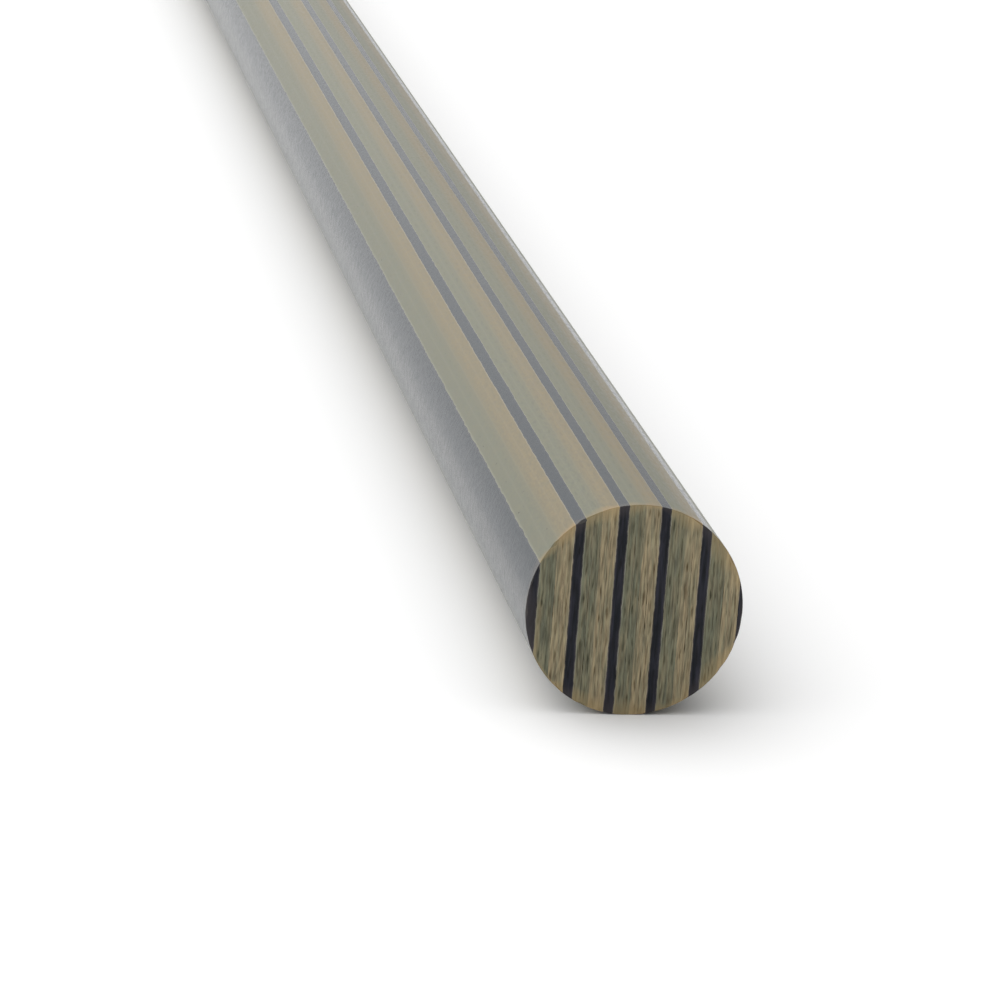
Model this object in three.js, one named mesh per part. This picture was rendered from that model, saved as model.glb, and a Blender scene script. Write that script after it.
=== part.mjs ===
// Laminated round rod: pin stock of woven glass cloth and epoxy in black, olive and tan, 1/4 in. by 6 in.
//
// The blank is a pressed stack of flat cloth plies that repeats black, olive, olive, tan, tan. A bar is
// sawn from the blank, ground round and cut square, so each ply is a flat strip whose two long edges are
// part of the rod's round surface. The plies are bonded face to face, with no gap between them.
//
// Millimetres. +X runs across the plies, +Y along the rod and +Z up. The origin is the middle of the axis.

import * as THREE from "three";

// Sizes of the rod
const rodDiameter = 6.35;
const rodLength = 152.4;

// Sizes of the stack that it is ground from
const blackPlyThickness = 0.292;
const dyedPlyThickness = 0.236; // each olive and each tan ply
const oliveRunToAxis = 0.086; // how far the middle olive-to-tan joint lies on the +X side of the axis

// A ply that would keep less than this inside the rod is ground away, and the next one runs to the rim
const thinnestPlyLeft = 0.05;

// The round surface is made of flats of about this angle
const flatAngle = THREE.MathUtils.degToRad(3);

const rodRadius = rodDiameter / 2;

const looks = {
  black: { color: 0x26282c, roughness: 0.45 },
  olive: { color: 0x8b8a6d, roughness: 0.42 },
  tan: { color: 0xb3a078, roughness: 0.42 },
};

const materials = Object.fromEntries(
  Object.entries(looks).map(([colour, look]) => [
    colour,
    new THREE.MeshStandardMaterial({ ...look, metalness: 0 }),
  ]),
);

// One repeat of the stack, from -X to +X
const repeat = [
  { colour: "black", thickness: blackPlyThickness },
  { colour: "olive", thickness: dyedPlyThickness },
  { colour: "olive", thickness: dyedPlyThickness },
  { colour: "tan", thickness: dyedPlyThickness },
  { colour: "tan", thickness: dyedPlyThickness },
];

const thicknessOf = (plies) => plies.reduce((sum, ply) => sum + ply.thickness, 0);
const repeatThickness = thicknessOf(repeat);
const oliveToTanJoint = thicknessOf(repeat.slice(0, 3)); // from the start of a repeat

// The plies that the rod keeps, each with the planes it lies between. The walk starts outside the rod.
function pliesInRod() {
  const repeatsAside = Math.ceil(rodDiameter / repeatThickness);
  let from = oliveRunToAxis - oliveToTanJoint - repeatsAside * repeatThickness;
  const kept = [];
  for (let n = 0; n < 2 * repeatsAside + 1; n += 1) {
    for (const { colour, thickness } of repeat) {
      const to = from + thickness;
      const left = Math.min(to, rodRadius) - Math.max(from, -rodRadius);
      if (left >= thinnestPlyLeft) kept.push({ colour, from, to });
      from = to;
    }
  }
  kept[0].from = -rodRadius;
  kept[kept.length - 1].to = rodRadius;
  return kept;
}

// The outline of one ply across the rod: two arcs of the rim, joined by the ply's two flat faces
function plyOutline({ from, to }) {
  const fromAngle = Math.acos(from / rodRadius);
  const toAngle = Math.acos(to / rodRadius);
  const outline = new THREE.Shape();
  outline.absarc(0, 0, rodRadius, toAngle, fromAngle, false);
  outline.absarc(0, 0, rodRadius, -fromAngle, -toAngle, false);
  return { outline, arcAngle: fromAngle - toAngle };
}

function plyMesh(ply, name) {
  const { outline, arcAngle } = plyOutline(ply);
  const geometry = new THREE.ExtrudeGeometry(outline, {
    depth: rodLength,
    bevelEnabled: false,
    curveSegments: Math.ceil(arcAngle / flatAngle / 2), // an arc gets two flats for each
  });
  const mesh = new THREE.Mesh(geometry, materials[ply.colour]);
  mesh.name = name;
  mesh.rotation.x = Math.PI / 2; // the outline stands up, and its depth runs towards -Y
  mesh.position.y = rodLength / 2;
  return mesh;
}

const rod = new THREE.Group();
const made = { black: 0, olive: 0, tan: 0 };

for (const ply of pliesInRod()) {
  made[ply.colour] += 1;
  rod.add(plyMesh(ply, `${ply.colour}_ply_${made[ply.colour]}`));
}

export default rod;
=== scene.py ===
import math
import random

import bmesh
import bpy
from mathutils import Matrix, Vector, noise


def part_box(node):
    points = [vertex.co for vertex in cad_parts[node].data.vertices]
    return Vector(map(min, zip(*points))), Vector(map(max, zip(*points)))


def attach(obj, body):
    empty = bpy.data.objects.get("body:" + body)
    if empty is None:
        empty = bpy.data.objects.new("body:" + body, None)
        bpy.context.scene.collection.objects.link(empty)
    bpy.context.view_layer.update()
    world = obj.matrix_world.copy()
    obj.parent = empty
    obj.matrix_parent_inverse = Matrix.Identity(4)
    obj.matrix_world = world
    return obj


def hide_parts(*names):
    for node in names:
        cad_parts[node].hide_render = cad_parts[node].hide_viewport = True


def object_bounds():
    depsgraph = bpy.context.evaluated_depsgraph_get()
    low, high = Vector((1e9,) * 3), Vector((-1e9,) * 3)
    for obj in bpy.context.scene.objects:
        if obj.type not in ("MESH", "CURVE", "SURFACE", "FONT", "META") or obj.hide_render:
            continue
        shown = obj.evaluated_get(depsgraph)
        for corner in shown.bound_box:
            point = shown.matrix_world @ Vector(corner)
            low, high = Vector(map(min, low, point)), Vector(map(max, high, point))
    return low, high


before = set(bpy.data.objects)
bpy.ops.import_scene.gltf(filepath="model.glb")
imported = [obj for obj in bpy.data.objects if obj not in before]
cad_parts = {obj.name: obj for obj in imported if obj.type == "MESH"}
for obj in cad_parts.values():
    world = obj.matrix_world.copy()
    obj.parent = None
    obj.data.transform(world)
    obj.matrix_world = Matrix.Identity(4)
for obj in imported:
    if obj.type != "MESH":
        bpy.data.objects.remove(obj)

cad_low, cad_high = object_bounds()

# ---------------------------------------------------------------------------------------------------
# The plies
# A pressed block is a stack of glass cloth soaked in dyed epoxy and cured hot under a press. A bar is
# sawn from it and ground round between two wheels, so each ply is left as a flat strip whose two long
# edges are part of the round surface. The yarns press a faint wave into the joints between plies.

MM = 0.001

rod_radius = (cad_high.x - cad_low.x) / 2
rod_length = cad_high.y - cad_low.y
yarn_spacing = 0.84 * MM  # along the rod and up it, about 30 yarns to the inch

rim_step = math.radians(1.5)
length_step = yarn_spacing / 4
joint_row = yarn_spacing / 16
touching = 1e-3 * MM
hard_edge = math.radians(20)  # faces that meet at a sharper angle than this aren't shaded as one

wave_up = 0.004 * MM  # how far the yarns push a joint, from one yarn to the next up the rod
wave_along = 0.003 * MM  # the same, along the rod
wave_start = 9100  # radians a metre across the stack, so that no two joints wave in step
wave_start_along = 1.7  # times as much again, so that the two waves aren't in step either
drift = 0.008 * MM  # how far a joint wanders over a few yarns
drift_size = 1.3 * MM
ragged = 0.013 * MM  # how far its broken filaments stand off it
ragged_size = 0.14 * MM
wave_fades = 0.3 * MM  # the wave dies out this far from the rod's two sides, where a ply runs out

broken_edge = 0.012 * MM  # what a light touch with a file takes off the sawn corner
chip = 0.15 * MM  # how much deeper the worst chips in that corner would go
chip_size = 0.35 * MM

shuffle = random.Random(4)


def joint_wave(x, y, z):
    """How far the cloth has pushed a joint between two plies out of flat, in metres."""
    start = wave_start * x
    push = wave_up * math.cos(math.tau * z / yarn_spacing + start)
    push += wave_along * math.cos(math.tau * y / yarn_spacing + wave_start_along * start)
    push += drift * noise.noise(Vector((x, y, z)) / drift_size)
    push += ragged * noise.noise(Vector((x, y, z)) / ragged_size)
    return push * min(1, (rod_radius - abs(x)) / wave_fades)


def edge_wear(x, y, z):
    """How much of the corner is gone at this point of a sawn end, in metres."""
    return broken_edge + chip * max(0, noise.noise(Vector((x, y, z)) / chip_size)) ** 2


def arc(bm, start, end):
    """Draws the rim of the front end from one angle to another, measured from +X towards +Z."""
    corner = Vector((rod_radius * math.cos(start), -rod_length / 2, rod_radius * math.sin(start)))
    bmesh.ops.spin(
        bm,
        geom=[bm.verts.new(corner)],
        cent=(0, 0, 0),
        axis=(0, -1, 0),
        angle=end - start,
        steps=max(2, math.ceil((end - start) / rim_step)),
    )


def flat_ply(bm, low, high):
    """Draws a ply's section on the front end and pulls it out to the back end, in short lengths."""
    at_low = math.acos(max(-1, low.x / rod_radius))
    at_high = math.acos(min(1, high.x / rod_radius))
    arc(bm, at_high, at_low)
    arc(bm, -at_low, -at_high)
    bmesh.ops.remove_doubles(bm, verts=bm.verts, dist=touching / 10)
    ends = [v for v in bm.verts if len(v.link_edges) == 1]
    for x in {round(v.co.x, 9) for v in ends}:
        bmesh.ops.contextual_create(bm, geom=[v for v in ends if abs(v.co.x - x) < 1e-9])
    bmesh.ops.contextual_create(bm, geom=bm.edges[:])
    grown = bmesh.ops.extrude_face_region(bm, geom=bm.faces[:])["geom"]
    back = [v for v in grown if isinstance(v, bmesh.types.BMVert)]
    bmesh.ops.translate(bm, verts=back, vec=(0, rod_length, 0))

    lengthwise = [e for e in bm.edges if abs(e.verts[0].co.y - e.verts[1].co.y) > rod_length / 2]
    lengths = round(rod_length / length_step)
    bmesh.ops.subdivide_edges(bm, edges=lengthwise, cuts=lengths - 1, use_grid_fill=True)
    bmesh.ops.recalc_face_normals(bm, faces=bm.faces)


def is_sawn(face):
    """Whether a face of a flat ply lies on one of the two sawn ends."""
    return abs(face.normal.y) > 0.9


def cut_rows(bm):
    """Cuts the sawn ends of a flat ply into level rows, so that its joints can wave there too."""
    top = max(v.co.z for v in bm.verts)
    rows = math.floor(top / joint_row)
    for n in range(-rows, rows + 1):
        level = n * joint_row
        reached = [
            f
            for f in bm.faces
            if is_sawn(f) and min(v.co.z for v in f.verts) < level < max(v.co.z for v in f.verts)
        ]
        edges = dict.fromkeys(e for f in reached for e in f.edges)
        corners = dict.fromkeys(v for f in reached for v in f.verts)
        bmesh.ops.bisect_plane(
            bm,
            geom=[*reached, *edges, *corners],
            dist=touching / 10,
            plane_co=(0, 0, level),
            plane_no=(0, 0, 1),
        )


def ply_mesh(node, name):
    """One ply as a closed mesh: two sawn ends, two ground edges, and the two joints to its neighbours."""
    low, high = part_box(node)
    low.x = round(low.x, 6)  # so that two neighbours agree exactly on the joint between them
    high.x = round(high.x, 6)
    bm = bmesh.new()
    cloth = bm.verts.layers.float_vector.new("cloth")
    flat_ply(bm, low, high)
    cut_rows(bm)
    for f in bm.faces:
        f.material_index = 0 if is_sawn(f) else 1
        f.smooth = not is_sawn(f)

    middle = (low.x + high.x) / 2
    thickness = high.x - low.x
    end = rod_length / 2
    shift = Vector((0, shuffle.uniform(0, 10), shuffle.uniform(0, 10)))
    for v in bm.verts:
        x, y, z = v.co
        v[cloth] = Vector(((x - middle) / thickness, z / MM, y / MM)) + shift
        on_rim = math.hypot(x, z) > rod_radius - touching
        on_end = abs(y) > end - touching
        next_to_end = not on_end and abs(y) > end - 1.5 * length_step
        joint = low.x if x < middle else high.x
        if abs(x - joint) < touching and abs(joint) < rod_radius - touching:
            x = joint + joint_wave(joint, y, z)
            if on_rim:
                z = math.copysign(math.sqrt(rod_radius**2 - x**2), z)
        reach = math.hypot(x, z)
        wear = edge_wear(x, math.copysign(end, y), z)
        if on_end and reach > rod_radius - wear:
            worn = (rod_radius - wear) / reach
            x, z = x * worn, z * worn
        elif on_rim and next_to_end:
            y = math.copysign(end - wear, y)
        v.co = (x, y, z)
    bm.normal_update()
    for e in bm.edges:
        e.smooth = e.calc_face_angle(0) < hard_edge
    mesh = bpy.data.meshes.new(name)
    bm.to_mesh(mesh)
    bm.free()
    return mesh


def lay_ply(node, name, sawn, ground):
    """Puts a finished ply in the place of its plain one."""
    piece = bpy.data.objects.new(name, ply_mesh(node, name))
    bpy.context.scene.collection.objects.link(piece)
    piece.data.materials.append(sawn)
    piece.data.materials.append(ground)
    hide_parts(node)
    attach(piece, "root")


# ---------------------------------------------------------------------------------------------------
# The cured cloth
# Plain-woven glass in epoxy. A yarn that is cut end-on drinks the light and shows dark; one that lies
# in the surface shows its filaments as fine streaks. The sawn ends are dull and the ground side satin.

black_low, black_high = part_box("black_ply_3")
black_ply = black_high.x - black_low.x
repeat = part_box("black_ply_4")[0].x - black_low.x  # black, two olive and two tan
bleed = 0.16 * MM  # how far the olive and tan dyes have run into each other

yarn_crimp = 0.10  # how far a yarn rises and falls, as a share of the ply
yarn_half_width = 0.32  # of the dark middle of a cut yarn, as a share of the spacing
yarn_half_depth = 0.16  # the same, as a share of the ply
yarn_strays = (0.5, 0.9, 0.9)  # across the ply as a share of it, then up and along in millimetres

joint_line = 0.42  # the resin between two plies shows from here, as a share of the ply, out to 0.5
beside_black = 0.08 * MM  # a joint no further than this from a black ply shows its resin in full
clear_of_black = 0.12 * MM  # and one further off than this hardly shows it
faint_joint = 0.15

painted_glow_reach = 0.7 * MM  # how far in from the rim the painted glow of light through the translucent edge reaches, at most
painted_end_glow_reach = 0.6 * MM  # and how far in along the side from a sawn end the painted glow reaches

glass_epoxy_ior = 1.53


def linear(code):
    """An sRGB hex colour as linear red, green, blue and alpha."""
    parts = [int(code[i : i + 2], 16) / 255 for i in (0, 2, 4)]
    return (*((c / 12.92 if c <= 0.04045 else ((c + 0.055) / 1.055) ** 2.4) for c in parts), 1)


def add(tree, kind, inputs=(), **settings):
    """Adds a shader node. inputs are in the order of its sockets, or a dict by socket; each is a value,
    another node's output, or a node, whose first output is taken. A MapRange's are the value, the two
    numbers that it runs between, and the two that they become."""
    node = tree.nodes.new("ShaderNode" + kind)
    for key, value in settings.items():
        setattr(node, key, value)
    for key, source in inputs.items() if isinstance(inputs, dict) else enumerate(inputs):
        if isinstance(source, bpy.types.Node):
            source = source.outputs[0]
        if isinstance(source, bpy.types.NodeSocket):
            tree.links.new(source, node.inputs[key])
        else:
            node.inputs[key].default_value = source
    return node


def weave(tree):
    """Where a point is in its ply's cloth: how many yarns up and along, how deep once the yarns have
    strayed, and how deep in truth."""
    place = add(tree, "Attribute", attribute_name="cloth", attribute_type="GEOMETRY").outputs["Vector"]
    stray = add(tree, "TexNoise", {"Vector": place, "Scale": 0.9, "Detail": 1.0}).outputs["Color"]
    stray = add(tree, "VectorMath", (stray, (0.5, 0.5, 0.5)), operation="SUBTRACT")
    moved = add(tree, "VectorMath", (stray, yarn_strays, place), operation="MULTIPLY_ADD")
    depth, up, along = add(tree, "SeparateXYZ", (moved,)).outputs
    up = add(tree, "Math", (up, yarn_spacing / MM), operation="DIVIDE")
    along = add(tree, "Math", (along, yarn_spacing / MM), operation="DIVIDE")
    true_depth = add(tree, "SeparateXYZ", (place,))
    return up, along, depth, true_depth


def yarn(tree, side, run, depth, sign):
    """1 in the middle of a yarn and 0 outside it. side is across the yarns and run along them, both
    counted in yarns. sign says which face of the ply the first crossing is nearer."""
    number = add(tree, "Math", (side,), operation="FLOOR")
    turn = add(tree, "Math", (run, number), operation="ADD")
    turn = add(tree, "Math", (turn, math.pi), operation="MULTIPLY")
    rise = add(tree, "Math", (turn,), operation="SINE")
    rise = add(tree, "Math", (rise, sign * yarn_crimp), operation="MULTIPLY")
    wide = add(tree, "Math", (side, number), operation="SUBTRACT")
    wide = add(tree, "MapRange", (wide, 0, 1, -0.5 / yarn_half_width, 0.5 / yarn_half_width))
    wide = add(tree, "Math", (wide, wide), operation="MULTIPLY")
    deep = add(tree, "Math", (depth, rise), operation="SUBTRACT")
    deep = add(tree, "Math", (deep, yarn_half_depth), operation="DIVIDE")
    deep = add(tree, "Math", (deep, deep, wide), operation="MULTIPLY_ADD")
    size = add(tree, "TexWhiteNoise", {"W": number}, noise_dimensions="1D")
    size = add(tree, "MapRange", (size, 0, 1, 0.6, 1.3))
    return add(tree, "Math", (size, deep), operation="SUBTRACT", use_clamp=True)


def from_black(tree):
    """How far it is across the block to the middle of the nearest black ply, in metres."""
    across = add(tree, "SeparateXYZ", (add(tree, "TexCoord").outputs["Object"],))
    across = add(tree, "Math", (across, (black_low.x + black_high.x) / 2), operation="SUBTRACT")
    return add(tree, "Math", (across, repeat / 2), operation="PINGPONG")


def resin_line(tree, depth, strength):
    """The resin between two plies, which shows pale beside a black one and hardly at all elsewhere."""
    edge = add(tree, "Math", (depth,), operation="ABSOLUTE")
    edge = add(tree, "MapRange", (edge, joint_line - 0.05, 0.5, 0, strength))
    near = black_ply / 2 + beside_black
    far = black_ply / 2 + clear_of_black
    beside = add(tree, "MapRange", (from_black(tree), near, far, 1, faint_joint))
    return add(tree, "Math", (edge, beside), operation="MULTIPLY")


def streaks(tree, per_mm, low, high):
    """A number from low to high in fine streaks, with per_mm of them to the millimetre along X, Y and Z.
    A glass filament is about 0.01 mm thick, too fine to show, so the finest are drawn 0.05 mm wide."""
    place = add(tree, "TexCoord").outputs["Object"]
    place = add(tree, "VectorMath", (place, [n / MM for n in per_mm]), operation="MULTIPLY")
    grain = add(tree, "TexNoise", {"Vector": place, "Scale": 1.0, "Detail": 2.0})
    return add(tree, "MapRange", (grain, 0.3, 0.7, low, high))


def bare_material(name):
    """A material with no nodes yet."""
    material = bpy.data.materials.new(name)
    material.use_nodes = True
    material.node_tree.nodes.clear()
    return material


def finish(material, colour, roughness, gloss, height, relief):
    """Joins the patterns to the surface. relief is how deep the height pattern is, in metres."""
    tree = material.node_tree
    surface = {
        "Base Color": colour,
        "Roughness": roughness,
        "IOR": glass_epoxy_ior,
        "Specular IOR Level": gloss,
        "Normal": add(tree, "Bump", {"Height": height, "Distance": relief}),
    }
    add(tree, "OutputMaterial", (add(tree, "BsdfPrincipled", surface),))


def sawn_cloth(name, dye, next_dye, cut_yarn, resin, painted_edge_glow):
    """A sawn end: dull, with the lengthwise yarns cut end-on and the upright ones in fine streaks."""
    material = bare_material(name)
    tree = material.node_tree
    up, along, depth, true_depth = weave(tree)
    lengthwise = yarn(tree, up, along, depth, sign=1)

    grain = streaks(tree, per_mm=(19, 1, 1.7), low=0.58, high=1.42)
    run = streaks(tree, per_mm=(11, 0.6, 0.8), low=-0.2, high=1)
    colour = add(tree, "MixRGB", (run, linear(dye), linear(next_dye)))
    colour = add(tree, "VectorMath", {0: colour, "Scale": grain}, operation="SCALE")

    frayed = streaks(tree, per_mm=(14, 1, 2.6), low=0.1, high=1.1)
    cut = add(tree, "Math", (lengthwise, frayed), operation="MULTIPLY", use_clamp=True)
    colour = add(tree, "MixRGB", (cut, colour, linear(cut_yarn)))

    line = resin_line(tree, true_depth, streaks(tree, per_mm=(3, 1, 1.2), low=0.2, high=1))
    colour = add(tree, "MixRGB", (line, colour, linear(resin)))

    # Painted glow: an amber tint in the base colour near the rim, standing in for light that comes in
    # through the translucent ground side.
    place = add(tree, "TexCoord").outputs["Object"]
    flat = add(tree, "VectorMath", (place, (1, 0, 1)), operation="MULTIPLY")
    radius = add(tree, "VectorMath", (flat,), operation="LENGTH").outputs["Value"]
    deepest = rod_radius - painted_glow_reach
    start = streaks(tree, per_mm=(0.7, 0.7, 0.7), low=deepest, high=rod_radius + 0.04 * MM)
    brown = add(tree, "MapRange", {0: radius, 1: start, 2: rod_radius + 0.05 * MM, 3: 0, 4: 0.65})
    colour = add(tree, "MixRGB", (brown, colour, linear(painted_edge_glow)))

    roughness = add(tree, "MapRange", (grain, 0.6, 1.4, 0.5, 0.75))
    finish(material, colour, roughness, gloss=0.15, height=grain, relief=0.004 * MM)
    return material


def ground_cloth(name, dye, next_dye, cut_yarn, resin, painted_edge_glow, gloss, roughness, relief):
    """The ground side: satin, with the upright yarns cut end-on at the top and bottom of the rod."""
    material = bare_material(name)
    tree = material.node_tree
    up, along, depth, true_depth = weave(tree)
    lengthwise = yarn(tree, up, along, depth, sign=1)
    upright = yarn(tree, along, up, depth, sign=-1)

    facing = add(tree, "SeparateXYZ", (add(tree, "TexCoord").outputs["Normal"],)).outputs[2]
    on_top = add(tree, "Math", (facing, facing), operation="MULTIPLY")
    on_side = add(tree, "MapRange", (on_top, 0, 0.6, 1, 0))
    grain_along = streaks(tree, per_mm=(12, 4, 12), low=0.85, high=1.15)
    grain_up = streaks(tree, per_mm=(12, 10, 2.2), low=0.75, high=1.25)
    over = add(tree, "Math", (upright, lengthwise), operation="SUBTRACT")
    over = add(tree, "MapRange", (over, -1, 1, 0.2, 1))
    over = add(tree, "Math", (over, on_side), operation="MULTIPLY")
    grain = add(tree, "Mix", {0: over, 2: grain_along, 3: grain_up}, data_type="FLOAT")

    patchy = streaks(tree, per_mm=(2, 2, 2), low=0, high=0.2)
    run = add(tree, "MapRange", (from_black(tree), repeat / 2 - bleed, repeat / 2, patchy, 0.5))
    colour = add(tree, "MixRGB", (run, linear(dye), linear(next_dye)))
    colour = add(tree, "VectorMath", {0: colour, "Scale": grain}, operation="SCALE")

    cut = add(tree, "Math", (upright, on_top), operation="MULTIPLY")
    cut = add(tree, "Math", (cut, 0.25), operation="MULTIPLY")
    colour = add(tree, "MixRGB", (cut, colour, linear(cut_yarn)))
    line = resin_line(tree, true_depth, strength=0.5)
    colour = add(tree, "MixRGB", (line, colour, linear(resin)))

    # Painted glow: an amber tint in the base colour along the side near each sawn end, standing in for
    # light leaking through the translucent edge.
    end = rod_length / 2
    lengthways = add(tree, "SeparateXYZ", (add(tree, "TexCoord").outputs["Object"],)).outputs[1]
    lengthways = add(tree, "Math", (lengthways,), operation="ABSOLUTE")
    start = streaks(tree, per_mm=(0.9, 0.9, 0.9), low=end - painted_end_glow_reach, high=end)
    brown = add(tree, "MapRange", {0: lengthways, 1: start, 2: end + 0.1 * MM, 3: 0, 4: 0.7})
    colour = add(tree, "MixRGB", (brown, colour, linear(painted_edge_glow)))

    uneven = add(tree, "MapRange", (grain, 0.8, 1.2, roughness - 0.08, roughness + 0.08))
    finish(material, colour, uneven, gloss, height=grain, relief=relief)
    return material


# ---------------------------------------------------------------------------------------------------
# The black plies
# Glass cloth in black epoxy, one ply in every five, a little thicker than the others and cured to its
# neighbours on both sides. The first and last are ground down to a narrow strip along the rod's side.

# Sawn, it is a dull charcoal with hardly darker flecks, and pale resin shows along its two joints.
black_sawn = sawn_cloth(
    "black glass epoxy, sawn",
    dye="16191f",
    next_dye="2c2c35",
    cut_yarn="121317",
    resin="6a6560",
    # the amber of the painted glow near the rim, for light through the translucent edge
    painted_edge_glow="474243",
)

# Ground, it is the shiniest of the three: near black, with a soft blue-grey sheen broken by its grain.
black_ground = ground_cloth(
    "black glass epoxy, ground",
    dye="1b252c",
    next_dye="1b252c",
    cut_yarn="15181c",
    resin="4a4a4a",
    # the amber of the painted glow along the side near a sawn end
    painted_edge_glow="4d4640",
    gloss=0.145,
    roughness=0.2,
    relief=0.005 * MM,
)

for n in range(1, 7):
    lay_ply(f"black_ply_{n}", f"black_cloth_{n}", black_sawn, black_ground)

# ---------------------------------------------------------------------------------------------------
# The olive plies
# Glass cloth in olive epoxy, laid two together on the +X side of each black ply and cured to it. Their
# dye has run a little into the tan ply beyond them.

# Sawn, it is a dull grey green with dark brown-green flecks where the yarns are cut.
olive_sawn = sawn_cloth(
    "olive glass epoxy, sawn",
    dye="686957",
    next_dye="7a735c",
    cut_yarn="3b3a2a",
    resin="96978c",
    # the amber of the painted glow near the rim, for light through the translucent edge
    painted_edge_glow="a28f69",
)

# Ground, it is an even, satin grey green with only a trace of the weave.
olive_ground = ground_cloth(
    "olive glass epoxy, ground",
    dye="656655",
    next_dye="706852",
    cut_yarn="45463a",
    resin="8c8b7c",
    # the amber of the painted glow along the side near a sawn end
    painted_edge_glow="8f7a50",
    gloss=0.12,
    roughness=0.34,
    relief=0.0015 * MM,
)

for n in range(1, 11):
    lay_ply(f"olive_ply_{n}", f"olive_cloth_{n}", olive_sawn, olive_ground)

# ---------------------------------------------------------------------------------------------------
# The tan plies
# Glass cloth in tan epoxy, laid two together between the olive plies and the next black one, and cured
# to them. Their dye has run a little into the olive ply before them.

# Sawn, it is a dull sand colour with brown flecks where the yarns are cut.
tan_sawn = sawn_cloth(
    "tan glass epoxy, sawn",
    dye="94866a",
    next_dye="7f7a63",
    cut_yarn="534731",
    resin="a0998a",
    # the amber of the painted glow near the rim, for light through the translucent edge
    painted_edge_glow="b0986e",
)

# Ground, it is an even, satin brown that is darker than the sawn end.
tan_ground = ground_cloth(
    "tan glass epoxy, ground",
    dye="756a50",
    next_dye="656655",
    cut_yarn="5c523e",
    resin="95907f",
    # the amber of the painted glow along the side near a sawn end
    painted_edge_glow="997d50",
    gloss=0.12,
    roughness=0.34,
    relief=0.0015 * MM,
)

for n in range(1, 11):
    lay_ply(f"tan_ply_{n}", f"tan_cloth_{n}", tan_sawn, tan_ground)

# ---------------------------------------------------------------------------------------------------
# The table, light and camera
# The rod rests on a wide sheet of matt white paper. The room is white and its light is soft: bright
# overhead and behind on the left, and dimmer to the right and in front.

paper_half_width = 4
window = Vector((-0.42, 0.42, 0.80)).normalized()
window_spread = 3  # a higher power draws the bright part of the room in closer round the window
dimmest = 0.1
brightest = 2.4

bm = bmesh.new()
bmesh.ops.create_grid(bm, x_segments=1, y_segments=1, size=paper_half_width)
bmesh.ops.translate(bm, verts=bm.verts, vec=(0, 0, cad_low.z))
paper_mesh = bpy.data.meshes.new("paper")
bm.to_mesh(paper_mesh)
bm.free()
paper = bpy.data.objects.new("paper", paper_mesh)
bpy.context.scene.collection.objects.link(paper)

# Uncoated paper scatters the light evenly and has no shine.
white_paper = bare_material("white matt paper")
sheet = add(white_paper.node_tree, "BsdfPrincipled", {"Base Color": linear("f0f0f0"), "Roughness": 0.9})
add(white_paper.node_tree, "OutputMaterial", (sheet,))
paper_mesh.materials.append(white_paper)

room = bpy.data.worlds.new("white room")
room.use_nodes = True
room.node_tree.nodes.clear()
towards = add(room.node_tree, "TexCoord").outputs["Generated"]
towards = add(room.node_tree, "VectorMath", (towards, window), operation="DOT_PRODUCT").outputs["Value"]
towards = add(room.node_tree, "MapRange", (towards, -1, 1, 0, 1))
towards = add(room.node_tree, "Math", (towards, window_spread), operation="POWER")
brightness = add(room.node_tree, "MapRange", (towards, 0, 1, dimmest, brightest))
light = add(room.node_tree, "Background", {"Color": (1, 1, 1, 1), "Strength": brightness})
add(room.node_tree, "OutputWorld", (light,))
bpy.context.scene.world = room

bpy.context.scene.view_settings.view_transform = "Standard"

# The camera looks down at the front end from its left. Its place is counted from the middle of that end.
front_end = Vector((0, cad_low.y, 0))
camera_place = Vector((-23.32, -106.86, 35.32)) * MM
pitch = math.radians(72.87)
roll = math.radians(-4.03)
yaw = math.radians(-8.97)
camera_data = bpy.data.cameras.new("camera")
camera_data.sensor_width = 36
camera_data.lens = 144
camera_data.clip_start = 0.001
camera = bpy.data.objects.new("camera", camera_data)
bpy.context.scene.collection.objects.link(camera)
camera.rotation_mode = "XZY"
camera.rotation_euler = (pitch, roll, yaw)
camera.location = front_end + camera_place
bpy.context.scene.camera = camera
